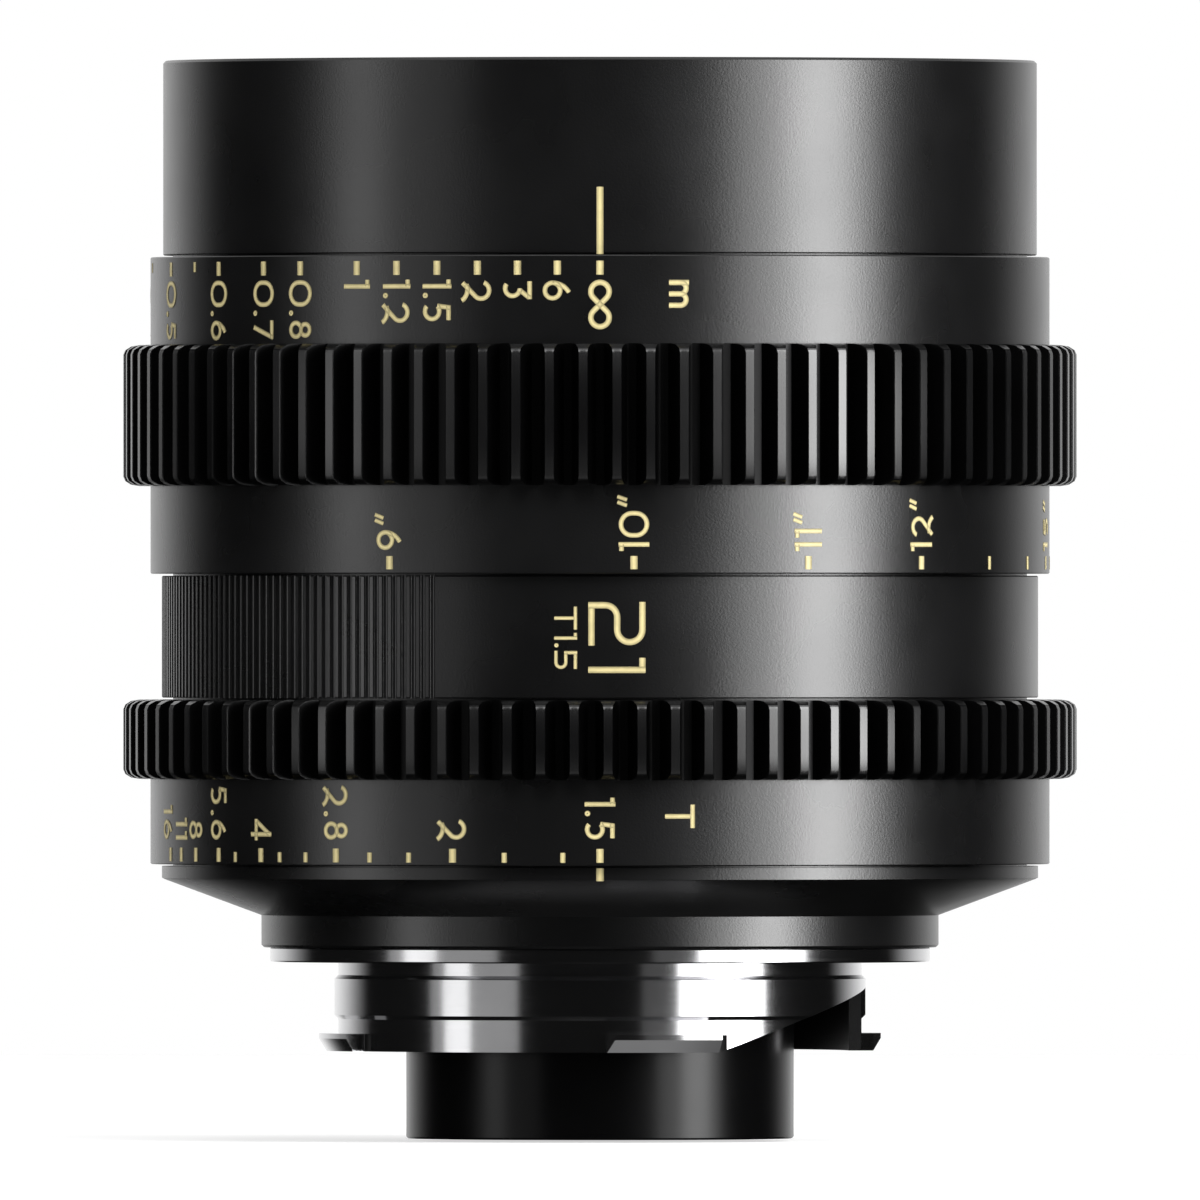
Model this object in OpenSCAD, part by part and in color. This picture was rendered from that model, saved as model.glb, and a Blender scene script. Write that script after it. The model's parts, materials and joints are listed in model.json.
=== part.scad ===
// Cinema prime lens: fixed barrel with a bayonet, geared focus and iris rings,
// a sliding optical block on a helicoid, and an iris of pivoting blades.
// The axis is Z, the flange face is at Z = 0 and the front of the lens points up.

/* [Barrel] */
// Outside diameter of the plain front barrel
front_od = 66.7; // [66.4:0.1:68]
// Length of the plain front barrel
front_h = 14.85; // [13:0.05:18]
// Outside diameter of the fixed grip barrel between the gears
grip_od = 66.9; // [66.4:0.1:68]
// Length of the fixed grip barrel
grip_h = 9.3; // [8:0.1:12]
// Outside diameter of the tube that carries every ring
tube_od = 63; // [62.4:0.1:63.2]
// Wall of the carrying tube
tube_wall = 2; // [1.6:0.1:2.2]
// Height of the lightly chamfered edges of barrels and rings
edge_chamfer = 0.2; // [0.1:0.05:0.3]
// Height of the finer edges beside the seams between sleeves and rings
seam_chamfer = 0.08; // [0.05:0.01:0.15]
// Gap that parts two neighbouring barrels and rings along the axis
ring_gap = 0.15; // [0.1:0.05:0.3]
// Width of the dust lip at the end of each fixed barrel
seal_w = 1.1; // [0.8:0.05:1.2]
// Height of the dust lip, which reaches into the ring beside it
seal_h = 0.5; // [0.3:0.05:0.8]
// Radial gap of everything that turns or slides
running_gap = 0.1; // [0.06:0.01:0.15]
// Radial gap of pieces that are screwed or pressed together
seat_gap = 0.03; // [0.02:0.01:0.05]

/* [Grip reeding] */
// Angle from the front mark to the first groove of the reeded patch
reeding_start = 22.4; // [15:0.1:40]
// Angle between two grooves
reeding_pitch = 1.36; // [1.2:0.02:2]
// Number of grooves
reeding_count = 100; // [20:1:110]
// Radius of one groove
reeding_r = 0.26; // [0.15:0.01:0.3]

/* [Rings and gears] */
// Outside diameter of the scale bands of both rings
ring_od = 68.64; // [68:0.02:68.9]
// Gear module of both rings
gear_module = 0.8; // [0.79:0.005:0.81]
// Number of teeth of both rings
gear_teeth = 89; // [88:1:92]
// Width of the focus gear
focus_gear_w = 10.75; // [8:0.05:14]
// Width of the iris gear
iris_gear_w = 6.05; // [4:0.05:7]
// Height of the focus scale band in front of the gear
focus_front_band_h = 6.7; // [5:0.1:9]
// Height of the focus scale band behind the gear
focus_rear_band_h = 6.7; // [5:0.05:9]
// Height of the iris scale band behind the gear
iris_band_h = 6.5; // [6:0.1:9]
// Turn of the focus ring from infinity to the nearest distance
focus_throw = 210; // [90:1:270]
// Turn of the iris ring from open to closed
iris_throw = 72.5; // [60:0.5:74]
// Forward travel of the optical block over the focus throw
focus_travel = 2.4; // [1:0.1:2.8]

/* [Rear and bayonet] */
// Diameter of the black collar above the flange
collar_od = 51.7; // [51:0.1:54]
// Height of the black collar
collar_h = 2.45; // [2:0.05:4]
// Height of the rear cone
cone_h = 2.75; // [2:0.05:5]
// Height of the plain rim above the cone
rim_h = 1; // [0.6:0.1:2]
// Diameter of the bright flange
flange_od = 50.35; // [49:0.05:50.8]
// Thickness of the bright flange
flange_t = 1.1; // [0.9:0.1:1.5]
// Diameter of the bayonet spigot's middle band
spigot_od = 40.54; // [40:0.02:40.8]
// Depth of the two grooves beside the middle band
spigot_groove = 0.3; // [0.1:0.05:0.4]
// Inside diameter of the bayonet spigot
spigot_id = 38; // [37.4:0.1:38.4]
// Depth of the spigot behind the flange
spigot_h = 6.8; // [6.4:0.1:8]
// Diameter over the bayonet lugs
lug_od = 42.95; // [42:0.05:44]
// Thickness of a lug along the axis
lug_t = 1.34; // [1:0.02:1.6]
// Angle that one lug covers
lug_angle = 24.2; // [18:0.1:30]
// Number of lugs
lug_count = 4; // [3:1:4]
// Angle from the front mark to the first lug's edge
lug_start = 1.5; // [0:0.1:10]
// Outside diameter of the rear shroud
shroud_od = 29.6; // [29.4:0.1:30.4]
// Wall of the rear shroud
shroud_wall = 0.6; // [0.5:0.05:0.65]
// Depth of the rear shroud's end behind the flange
shroud_h = 13.5; // [12.4:0.1:18]

/* [Filter thread] */
// Nominal diameter of the filter thread
filter_d = 62; // [60:0.5:62.5]
// Depth of the threaded stretch, with its mouth
filter_depth = 4.25; // [3:0.05:4.6]

/* [Iris] */
// Number of blades
blade_count = 12; // [8:1:12]
// Thickness of one blade
blade_t = 0.08; // [0.05:0.01:0.1]
// Step from one blade's level to the next
blade_step = 0.16; // [0.14:0.01:0.18]
// Radius of the open aperture, which is the blade's inner edge
aperture_r = 12; // [11:0.1:12.4]
// Width of the curved part of a blade
blade_w = 3.4; // [3:0.1:3.6]
// Radius of the circle that carries the pivot pins
pivot_r = 19; // [18.8:0.05:19.4]
// Turn of one blade from open to closed
blade_turn = 35; // [25:0.5:35.5]
// Radius of a blade's pins
blade_pin_r = 0.35; // [0.25:0.05:0.4]
// Distance from a blade's pivot to its drive pin
drive_arm = 6; // [5.6:0.1:6.4]

/* [Hidden] */
$fn = 180;
eps = 0.01;
front_az = -90;

// Stations along the axis, from the flange face upwards
z_collar = flange_t;
z_cone = z_collar + collar_h;
z_rim = z_cone + cone_h;
z_cover_top = z_rim + rim_h;
z_iris = z_cover_top + ring_gap;
z_iris_gear = z_iris + iris_band_h;
z_iris_top = z_iris_gear + iris_gear_w;
z_grip = z_iris_top + ring_gap;
z_grip_top = z_grip + grip_h;
z_focus = z_grip_top + ring_gap;
z_focus_gear = z_focus + focus_rear_band_h;
z_focus_band = z_focus_gear + focus_gear_w;
z_focus_top = z_focus_band + focus_front_band_h;
z_front = z_focus_top + ring_gap;
z_nose = z_front + front_h;

// Radii of the barrel and of what runs on it
tube_r = tube_od / 2;
tube_bore = tube_r - tube_wall;
ring_bore = tube_r + running_gap;
ring_r = ring_od / 2;
seal_r = tube_r + seal_w;
recess_r = seal_r + running_gap;
sleeve_bore = tube_r + seat_gap;
filter_r = filter_d / 2;
z_filter = z_nose - filter_depth;
baffle_h = 4.5;
z_tube_top = z_filter - baffle_h;
baffle_seat_r = filter_r - 0.4;

// Gear geometry: a 20 degree involute
pressure = 20;
pitch_r = gear_module * gear_teeth / 2;
tip_r = pitch_r + gear_module;
root_r = pitch_r - 1.25 * gear_module;
base_r = pitch_r * cos(pressure);
tooth_end_drop = 1.2;
tooth_end_len = 0.75;
gear_bore = recess_r + 0.3;

// Helicoid, with its key through the tube's long slot
helicoid_wall = 2;
helicoid_r = tube_bore - running_gap;
helicoid_bore = helicoid_r - helicoid_wall;
helicoid_h = 13;
helicoid_inset = 4;
z_helicoid = z_focus + helicoid_inset;
z_helicoid_top = z_helicoid + helicoid_h;
retainer_h = 2;
key_w = 5;
key_h = 3;
key_az = 180;
z_key = z_helicoid + helicoid_h / 2;
key_inner_r = helicoid_bore + 0.8;
key_outer_r = ring_bore + 1.3;
key_half_angle = asin(key_w / 2 / tube_bore);
stop_gap_angle = 0.3;

// Guide keys that keep the optical block from turning
rib_h = 6.4;
rib_bore = helicoid_bore + 0.3;
z_rib = z_helicoid - ring_gap - rib_h;
guide_count = 3;
guide_w = 4;
guide_h = 5;
guide_depth = 1.2;

// Optical block: everything below stands on the carrier's lower end
carrier_r = helicoid_bore - running_gap;
carrier_wall = 2.4;
carrier_bore = carrier_r - carrier_wall;
carrier_h = 27.5;
carrier_inset = 3.95;
z_carrier = z_grip + carrier_inset;
z_carrier_top = z_carrier + carrier_h;
web_h = 3;
web_inset = 7;
z_web = z_carrier + web_inset;
cell_r = carrier_bore - seat_gap;
head_gap = 1.3;
head_r = tube_bore - head_gap;

// Radii of the front group, each one stepped in from the cell's head
head_wall = 2.2;
ret1_r = head_r - head_wall;
ret1_ledge = 2.5;
l1_r = ret1_r - ret1_ledge;
ret1_lip = 1.2;
ret1_bore = l1_r - ret1_lip;
l2_ledge = 4;
l2_r = l1_r - l2_ledge;
spacer_wall = 0.6;
l1_back_r = l2_r - spacer_wall + 0.1;
l3_ledge = 3.6;
l3_r = l2_r - l3_ledge;
lip_w = 0.7;
lip_bore = l3_r - lip_w;
lip_h = 0.66;
l2_back_r = lip_bore - 0.2;
cell_neck_wall = 2.1;
cell_neck_r = l3_r + cell_neck_wall;
neck_gap = 2.6;
web_bore = cell_neck_r + neck_gap;

// Glass of the front group: front vertex, thickness and the curves of both faces
l1_station = 37;
z_l1 = z_carrier + l1_station;
l1_t = 2.6;
l1_front = 58;
l1_back = 24;
l2_station = 27.5;
z_l2 = z_carrier + l2_station;
l2_t = 2;
l2_front = 45;
l2_back = 19;
l3_station = 20.4;
z_l3 = z_carrier + l3_station;
l3_t = 7.6;
l3_curve = 40;
l4_station = 10;
z_l4 = z_carrier + l4_station;
l4_t = 1.2;
l4_front = 60;
l4_back = 30;
l5_t = 6.2;
l5_back = 200;
cement = 0.03;
ret1_h = 2.35;
glass_gap = 0.11;
z_ret1 = z_l1 - sag(l1_front, ret1_bore) + glass_gap;
z_head_top = z_ret1 + ret1_h;
z_l1_seat = z_l1 - l1_t - sag(l1_back, l1_back_r);
z_l2_seat = z_l2 - l2_t - sag(l2_back, l2_back_r);
z_l5 = z_l4 - l4_t - cement;
ret2_h = 1.75;
ret2_w = 2.4;
ret2_bore = l3_r - ret2_w;
z_ret2 = z_l5 - l5_t + sag(l5_back, ret2_bore) - 0.08 - ret2_h;

// Iris unit under the carrier, from the cover plate down to the base plate
iris_r = carrier_bore - 0.1;
iris_wall = 2.4;
iris_plate = 1;
z_iris_plate = z_carrier - iris_plate;
actuator_t = 0.8;
actuator_bore = aperture_r + 1.5;
actuator_r = iris_r - iris_wall - 0.5;
z_actuator = z_iris_plate - 0.2 - actuator_t;
stack_h = blade_count * blade_step;
z_blades = z_actuator - 0.3 - stack_h;
z_base = z_blades - 0.15 - iris_plate;
drive_az = 94;
arm_w = 6;
arm_gap_angle = 4;
fork_in_r = iris_r + 0.9;
fork_t = 1.7;
fork_w = 7;
pin_r = 1.25;
z_pin = z_iris + iris_band_h * 0.95;
fork_grip = 0.375;
z_fork = z_pin - pin_r - focus_travel - fork_grip;
slot_w = 2 * blade_pin_r + 0.14;

// Rear cell and the glass of the rear group
rear_cell_r = shroud_od / 2 - shroud_wall - 0.3;
rear_neck_r = 17;
rear_flange_r = iris_r - 3;
rear_flange_h = 1.2;
rear_neck_h = 9;
z_rear_cell = -shroud_h + 3.1;
rear_wall = 1.47;
rear_bore = rear_cell_r - rear_wall;
l8_r = rear_bore - seat_gap;
l9_r = l8_r;
upper_step = 0.6;
l6_r = l8_r + upper_step;
l7_r = l6_r;
upper_bore = l6_r + seat_gap;
spacer3_w = 0.8;
z_l6 = z_base - 0.6;
l6_t = 5.5;
l6_front = 28;
l6_back = 60;
l7_step = 7.36;
z_l7 = z_l6 - l7_step;
l7_t = 1.4;
l7_front = 55;
l7_back = 26;
rear_lip_h = 1;
rear_lip_w = 0.8;
rear_lip_bore = l8_r - rear_lip_w;
l7_back_r = rear_lip_bore - 0.1;
z_l7_seat = z_l7 - l7_t - sag(l7_back, l7_back_r);
z_l8 = z_l7_seat + 0.04;
l8_t = 6.5;
l8_front = 40;
l8_back = 35;
l9_t = 4.8;
l9_front = 80;
l9_back = 45;
ret3_h = 2.6;
ret3_w = 1.2;
ret3_bore = l9_r - ret3_w;
l9_station = 6.4;
z_l9 = z_rear_cell + l9_station;

// Rear cover, shroud flange and bayonet ledge
cover_bore = 16.2;
cover_floor = 2.5;
register_r = tube_bore - seat_gap;
register_h = 1.5;
register_bore = register_r - 4.4;
shroud_r = shroud_od / 2;
shroud_flange_r = shroud_r + 1.8;
shroud_flange_h = 1;
ledge_t = 0.9;
ledge_bore = shroud_r + 0.2;
screw_count = 5;
screw_circle_r = (shroud_flange_r + spigot_id / 2) / 2;
screw_r = 0.6;
screw_head_r = 1;
screw_len = 3.6;

// The milled relief in the spigot: a sloping floor between two end faces
lug_root = 0.3;
lug_bevel = 0.6;
lug_rim = 0.38;
lug_notch_r = 0.55;
lug_notch_d = 0.45;
relief_floor = -8.7;
relief_slope_x = 0.334;
relief_slope_y = 0.063;
relief_gap = 0.2;
relief_end_y = (spigot_od / 2 - spigot_groove - lug_root) * sin(lug_start) - relief_gap;

// Height that a sphere of radius r falls over the half width w
function sag(r, w) = r - sqrt(r * r - w * w);
function involute(a) = tan(a) * 180 / PI - a;
function half_tooth(r) =
    90 / gear_teeth + involute(pressure) - involute(acos(base_r / r));
function polar(r, a) = [r * cos(a), r * sin(a)];
function blade_name(i) = str("iris_blade_", i < 10 ? "0" : "", i);

// A closed ring turned from a list of [radius, height] points
module turned(points) {
    rotate_extrude() polygon(points);
}

// A plain ring between two radii and two heights
module ring(outer, inner, low, high) {
    turned([[inner, low], [outer, low], [outer, high], [inner, high]]);
}

// A ring with both outer edges chamfered
module edged_ring(outer, inner, low, high) {
    c = seam_chamfer;
    turned([[inner, low], [outer - c, low], [outer, low + c],
            [outer, high - c], [outer - c, high], [inner, high]]);
}

// A scale ring with a recess in both ends for its neighbours' dust lips
module scale_ring(low, high) {
    c = seam_chamfer;
    turned([[ring_bore, low + seal_h], [recess_r, low + seal_h], [recess_r, low],
            [ring_r - c, low], [ring_r, low + c], [ring_r, high - c], [ring_r - c, high],
            [recess_r, high], [recess_r, high - seal_h], [ring_bore, high - seal_h]]);
}

// One tooth after another, with the flanks given at the root, pitch and tip circles
module gear_outline(phase) {
    flank = [root_r, pitch_r, tip_r];
    polygon([for (i = [0:gear_teeth - 1], side = [-1, 1], k = [0:2])
        let (r = flank[side < 0 ? k : 2 - k])
        polar(r, phase + i * 360 / gear_teeth + side * half_tooth(r))]);
}

// A gear of the given width whose teeth are bevelled at both ends
module gear(low, width, phase) {
    drop = tooth_end_drop;
    len = tooth_end_len;
    intersection() {
        translate([0, 0, low]) linear_extrude(width) gear_outline(phase);
        turned(concat([[0, low]],
            [for (a = [0:30:90]) [tip_r + eps - drop * (1 - sin(a)), low + len * (1 - cos(a))]],
            [for (a = [90:-30:0])
                [tip_r + eps - drop * (1 - sin(a)), low + width - len * (1 - cos(a))]],
            [[0, low + width]]));
    }
}

// A block that points along a radius: width across, height along the axis
module radial_block(az, inner, outer, width, low, high) {
    rotate(az) translate([inner, -width / 2, low]) cube([outer - inner, width, high - low]);
}

// A stretch of a ring between two angles
module ring_arc(outer, inner, low, high, from, turn) {
    rotate(from) rotate_extrude(angle = turn)
        translate([inner, low]) square([outer - inner, high - low]);
}

// A sphere on the axis: its top pole or its bottom pole is at z
module dome_up(r, z) { translate([0, 0, z - r]) sphere(r); }
module dome_down(r, z) { translate([0, 0, z + r]) sphere(r); }

// Fixed barrel

module main_tube() {
    color("dimgray") difference() {
        turned([[tube_bore, z_cover_top], [tube_r, z_cover_top], [tube_r, z_tube_top],
                [tube_bore, z_tube_top], [tube_bore, z_rib + rib_h], [rib_bore, z_rib + rib_h],
                [rib_bore, z_rib], [tube_bore, z_rib]]);
        ring_arc(tube_r + 1, tube_bore - 1, z_key - key_h / 2 - running_gap,
                 z_key + key_h / 2 + running_gap,
                 key_az - key_half_angle - stop_gap_angle,
                 focus_throw + 2 * (key_half_angle + stop_gap_angle));
        iris_slot();
        for (i = [0:guide_count - 1])
            radial_block(i * 360 / guide_count, rib_bore - 1, guide_outer() + seat_gap,
                         guide_w + 2 * seat_gap, z_guide() - seat_gap,
                         z_guide() + guide_h + seat_gap);
    }
}

function z_guide() = z_rib + (rib_h - guide_h) / 2;
function guide_outer() = tube_bore + 0.9;

// The slot that the iris pin sweeps
module iris_slot() {
    half = asin((pin_r + running_gap) / tube_bore) + stop_gap_angle;
    ring_arc(tube_r + 1, tube_bore - 1, z_pin - pin_r - running_gap,
             z_pin + pin_r + running_gap, drive_az - half, iris_throw + 2 * half);
}

module grip_barrel() {
    color([0.07, 0.07, 0.075]) union() {
        intersection() {
            translate([0, 0, z_grip]) linear_extrude(grip_h) difference() {
                circle(grip_od / 2);
                circle(sleeve_bore);
                for (i = [0:reeding_count - 1])
                    rotate(front_az - reeding_start - i * reeding_pitch)
                        translate([grip_od / 2, 0]) circle(reeding_r, $fn = 24);
            }
            edged_ring(grip_od / 2, sleeve_bore - 1, z_grip, z_grip_top);
        }
        ring(seal_r, sleeve_bore, z_grip - seal_h, z_grip_top + seal_h);
    }
}

module front_barrel() {
    c = edge_chamfer;
    r = front_od / 2;
    color([0.07, 0.07, 0.075]) turned([
        [sleeve_bore, z_front - seal_h], [seal_r, z_front - seal_h], [seal_r, z_front],
        [r - seam_chamfer, z_front], [r, z_front + seam_chamfer], [r, z_nose - c],
        [r - c, z_nose], [filter_r + 0.4, z_nose], [filter_r, z_nose - 0.4],
        [filter_r, z_filter], [baffle_seat_r, z_filter], [baffle_seat_r, z_tube_top],
        [sleeve_bore, z_tube_top]]);
}

// A stepped light trap between the filter thread and the front cell
module front_baffle() {
    steps = 5;
    inner = head_r + 0.4;
    outer = baffle_seat_r - seat_gap;
    lip = 0.7;
    run = (outer - lip - inner) / steps;
    rise = (baffle_h - 0.1) / steps;
    color([0.05, 0.05, 0.055]) turned(concat(
        [[outer, z_tube_top], [outer, z_tube_top + baffle_h - 0.1]],
        [for (i = [steps - 1:-1:0], k = [1, 0])
            [inner + (i + 1) * run - 0.04 * (1 - k), z_tube_top + (i + k) * rise]],
        [[inner, z_tube_top]]));
}

module rear_cover() {
    c = edge_chamfer;
    rim_r = grip_od / 2;
    color([0.07, 0.07, 0.075]) difference() {
        turned([[cover_bore, z_collar], [collar_od / 2 - c, z_collar],
                [collar_od / 2, z_collar + c], [collar_od / 2, z_cone], [rim_r - c, z_rim],
                [rim_r, z_rim + c / 2], [rim_r, z_cover_top], [seal_r, z_cover_top],
                [seal_r, z_cover_top + seal_h], [sleeve_bore, z_cover_top + seal_h],
                [sleeve_bore, z_cover_top], [register_r, z_cover_top],
                [register_r, z_cover_top + register_h], [register_bore, z_cover_top + register_h],
                [register_bore, z_cover_top], [register_bore - 2, z_collar + cover_floor],
                [cover_bore, z_collar + cover_floor]]);
        mount_holes(screw_r + seat_gap, -eps, screw_len + 0.1);
    }
}

// The ring of mount screws, from the ledge's lower face upwards
module mount_holes(r, low, high) {
    for (i = [0:screw_count - 1])
        rotate(front_az + 360 / screw_count * (i + 0.5))
            translate([screw_circle_r, 0, -ledge_t + low]) cylinder(high - low, r, r, $fn = 32);
}

module mount_heads(grow) {
    head = screw_head_r + grow;
    for (i = [0:screw_count - 1])
        rotate(front_az + 360 / screw_count * (i + 0.5))
            translate([screw_circle_r, 0, -ledge_t])
                cylinder(screw_head_r - screw_r, head, screw_r + grow, $fn = 32);
}

module mount_screws() {
    color("silver") difference() {
        union() {
            mount_holes(screw_r, 0, screw_len);
            mount_heads(0);
        }
        for (i = [0:screw_count - 1], turn = [0, 90])
            rotate(front_az + 360 / screw_count * (i + 0.5))
                translate([screw_circle_r, 0, -ledge_t]) rotate(turn)
                    cube([screw_head_r, 0.22, 0.5], center = true);
    }
}

// Flange, grooved spigot, lugs and the inner ledge, turned and milled from one piece
module bayonet_mount() {
    r = spigot_od / 2;
    neck = r - spigot_groove;
    bore = spigot_id / 2;
    lug_top = -spigot_h + lug_t;
    c = 0.1;
    color([0.78, 0.78, 0.8]) difference() {
        union() {
            difference() {
                turned([[ledge_bore, -ledge_t], [bore, -ledge_t], [bore, -spigot_h],
                        [neck, -spigot_h], [neck, lug_top + 1.1],
                        [r, lug_top + 1.1 + spigot_groove], [r, -1 - spigot_groove],
                        [neck, -1], [neck, 0], [flange_od / 2 - c, 0], [flange_od / 2, c],
                        [flange_od / 2, flange_t - c], [flange_od / 2 - c, flange_t],
                        [shroud_flange_r + seat_gap, flange_t],
                        [shroud_flange_r + seat_gap, flange_t - shroud_flange_h],
                        [ledge_bore, flange_t - shroud_flange_h]]);
                mount_holes(screw_r + seat_gap, -eps, screw_len);
                mount_heads(seat_gap);
                for (i = [0:lug_count - 1])
                    rotate(front_az + lug_start + lug_angle + i * 360 / lug_count)
                        lug_notch(neck, lug_top);
            }
            for (i = [0:lug_count - 1])
                rotate(front_az + lug_start + i * 360 / lug_count) lug(neck - lug_root, lug_top);
        }
        spigot_relief();
    }
}

// The half-round runout that the cutter leaves at the end of a lug
module lug_notch(neck, top) {
    translate([neck + lug_notch_r - lug_notch_d, 1.1 * lug_notch_r, -spigot_h - 1])
        cylinder(top + spigot_h + 1, r = lug_notch_r, $fn = 32);
}

// One lug, bevelled below and at its leading end
module lug(inner, top) {
    outer = lug_od / 2;
    difference() {
        rotate_extrude(angle = lug_angle) polygon([
            [inner, -spigot_h], [outer - lug_bevel, -spigot_h],
            [outer, top - lug_rim], [outer, top], [inner, top]]);
        translate([outer - lug_bevel, 0, -spigot_h - 1]) rotate(-45)
            translate([0, -lug_bevel, 0]) cube([2, 4, lug_t + 2]);
    }
}

// What the mill takes out of the spigot's wall: the space under a sloping plane
module spigot_relief() {
    size = lug_od;
    tilt = atan(norm([relief_slope_x, relief_slope_y]));
    uphill = atan2(relief_slope_y, relief_slope_x);
    intersection() {
        translate([0, 0, relief_floor]) rotate(uphill) rotate([0, -tilt, 0])
            translate([-size, -size, -size]) cube([2 * size, 2 * size, size]);
        difference() {
            translate([0, relief_end_y - size, -spigot_h - 1])
                cube([size, size, spigot_h + 1 - ledge_t - eps]);
            translate([0, 0, -spigot_h - 2]) cylinder(spigot_h + 3, r = spigot_id / 2 - 1.5);
        }
    }
}

// A thin tube round the moving rear cell, held by its flange above the ledge
module rear_shroud() {
    bore = shroud_r - shroud_wall;
    c = 0.15;
    color([0.05, 0.05, 0.055]) turned([
        [bore, -shroud_h], [shroud_r - c, -shroud_h], [shroud_r, -shroud_h + c],
        [shroud_r, flange_t - shroud_flange_h], [shroud_flange_r, flange_t - shroud_flange_h],
        [shroud_flange_r, flange_t], [bore, flange_t]]);
}

module guide_keys() {
    color("goldenrod") for (i = [0:guide_count - 1])
        radial_block(i * 360 / guide_count, carrier_r - guide_depth + running_gap,
                     guide_outer(), guide_w, z_guide(), z_guide() + guide_h);
}

module helicoid_retainer() {
    color("dimgray") ring(tube_bore - seat_gap, helicoid_bore + 0.2,
                          z_helicoid_top + ring_gap, z_helicoid_top + ring_gap + retainer_h);
}

// Focus ring, its key and the helicoid

module focus_ring() {
    color([0.06, 0.06, 0.065]) difference() {
        union() {
            scale_ring(z_focus, z_focus_top);
            difference() {
                gear(z_focus_gear, focus_gear_w, front_az + 180 / gear_teeth);
                translate([0, 0, z_focus_gear - 1])
                    cylinder(focus_gear_w + 2, r = gear_bore);
            }
        }
        radial_block(key_az, ring_bore - 1, key_outer_r + seat_gap, key_w + 2 * seat_gap,
                     z_key - key_h / 2 - seat_gap, z_key + key_h / 2 + seat_gap);
    }
}

module focus_drive_key() {
    color("goldenrod") radial_block(key_az, key_inner_r, key_outer_r, key_w,
                                    z_key - key_h / 2, z_key + key_h / 2);
}

module helicoid_ring() {
    color("darkgoldenrod") difference() {
        ring(helicoid_r, helicoid_bore, z_helicoid, z_helicoid_top);
        radial_block(key_az, key_inner_r - seat_gap, helicoid_r + 1, key_w + 2 * seat_gap,
                     z_key - key_h / 2 - seat_gap, z_key + key_h / 2 + seat_gap);
    }
}

// Iris ring, its pin and the slotted actuator

module iris_ring() {
    color([0.06, 0.06, 0.065]) difference() {
        union() {
            scale_ring(z_iris, z_iris_top);
            difference() {
                gear(z_iris_gear, iris_gear_w, front_az + 0.96);
                translate([0, 0, z_iris_gear - 1])
                    cylinder(iris_gear_w + 2, r = gear_bore);
            }
        }
        iris_pin(seat_gap);
    }
}

module iris_pin(grow) {
    rotate(drive_az) translate([fork_in_r - 0.3, 0, z_pin]) rotate([0, 90, 0])
        cylinder(ring_bore + 1.6 - fork_in_r + 0.3, r = pin_r + grow, $fn = 48);
}

module iris_drive_pin() { color("silver") iris_pin(0); }

// The place of a blade's drive pin after a turn, and the same place seen from the actuator
function drive_point(turn) = [pivot_r, 0] + polar(drive_arm, 98 + turn);
function turned_back(p, a) = [p[0] * cos(a) + p[1] * sin(a), p[1] * cos(a) - p[0] * sin(a)];
function slot_point(t) = turned_back(drive_point(t * blade_turn), t * iris_throw);

// The path of one drive pin across the turning actuator
module actuator_slot() {
    steps = 12;
    path = [for (i = [-1:steps + 1]) slot_point(i / steps)];
    normals = [for (i = [1:steps + 1])
        let (d = path[i + 1] - path[i - 1]) [-d[1], d[0]] / norm(d)];
    half = slot_w / 2;
    polygon(concat(
        [for (i = [0:steps]) path[i + 1] + half * normals[i]],
        [for (i = [steps:-1:0]) path[i + 1] - half * normals[i]]));
    for (t = [0, 1]) translate(slot_point(t)) circle(half, $fn = 24);
}

module iris_actuator() {
    arm_low = z_fork;
    color("gray") difference() {
        union() {
            translate([0, 0, z_actuator]) linear_extrude(actuator_t) difference() {
                circle(actuator_r);
                circle(actuator_bore);
                for (i = [0:blade_count - 1]) rotate(i * 360 / blade_count) actuator_slot();
            }
            radial_block(drive_az, actuator_r - 0.2, fork_in_r + fork_t, arm_w,
                         z_actuator, z_actuator + actuator_t);
            intersection() {
                ring(fork_in_r + fork_t, fork_in_r, arm_low, z_actuator + actuator_t);
                radial_block(drive_az, fork_in_r - 2, fork_in_r + fork_t + 1, fork_w,
                             arm_low, z_actuator + actuator_t);
            }
        }
        radial_block(drive_az, fork_in_r - 2, fork_in_r + fork_t + 1,
                     2 * (pin_r + 0.03), arm_low - 1, z_pin + pin_r + running_gap);
    }
}

// A curved leaf with a pivot pin below it and a drive pin above it
module iris_blade(i) {
    span = 104;
    outer = aperture_r + blade_w;
    pad = 0.95;
    drive = drive_point(0);
    drive_a = atan2(drive[1], drive[0]);
    level = z_blades + (i - 1) * blade_step;
    rotate((i - 1) * 360 / blade_count) color([0.12, 0.12, 0.13]) union() {
        translate([0, 0, level]) linear_extrude(blade_t) union() {
            intersection() {
                difference() {
                    circle(outer);
                    circle(aperture_r);
                }
                polygon([[0, 0], polar(40, 0), polar(40, span / 3),
                         polar(40, span * 2 / 3), polar(40, span)]);
            }
            translate(polar((outer + aperture_r) / 2, span)) circle(blade_w / 2);
            for (p = [[pivot_r, 0], [norm(drive), drive_a]]) rotate(p[1]) {
                translate([outer - 1, -pad]) square([p[0] - outer + 1, 2 * pad]);
                translate([p[0], 0]) circle(pad, $fn = 32);
            }
        }
        translate([pivot_r, 0, z_base + 0.3])
            cylinder(level + blade_t - z_base - 0.3, r = blade_pin_r, $fn = 24);
        translate([drive[0], drive[1], level])
            cylinder(z_actuator + actuator_t - level, r = blade_pin_r, $fn = 24);
    }
}

// Optical block

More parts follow.
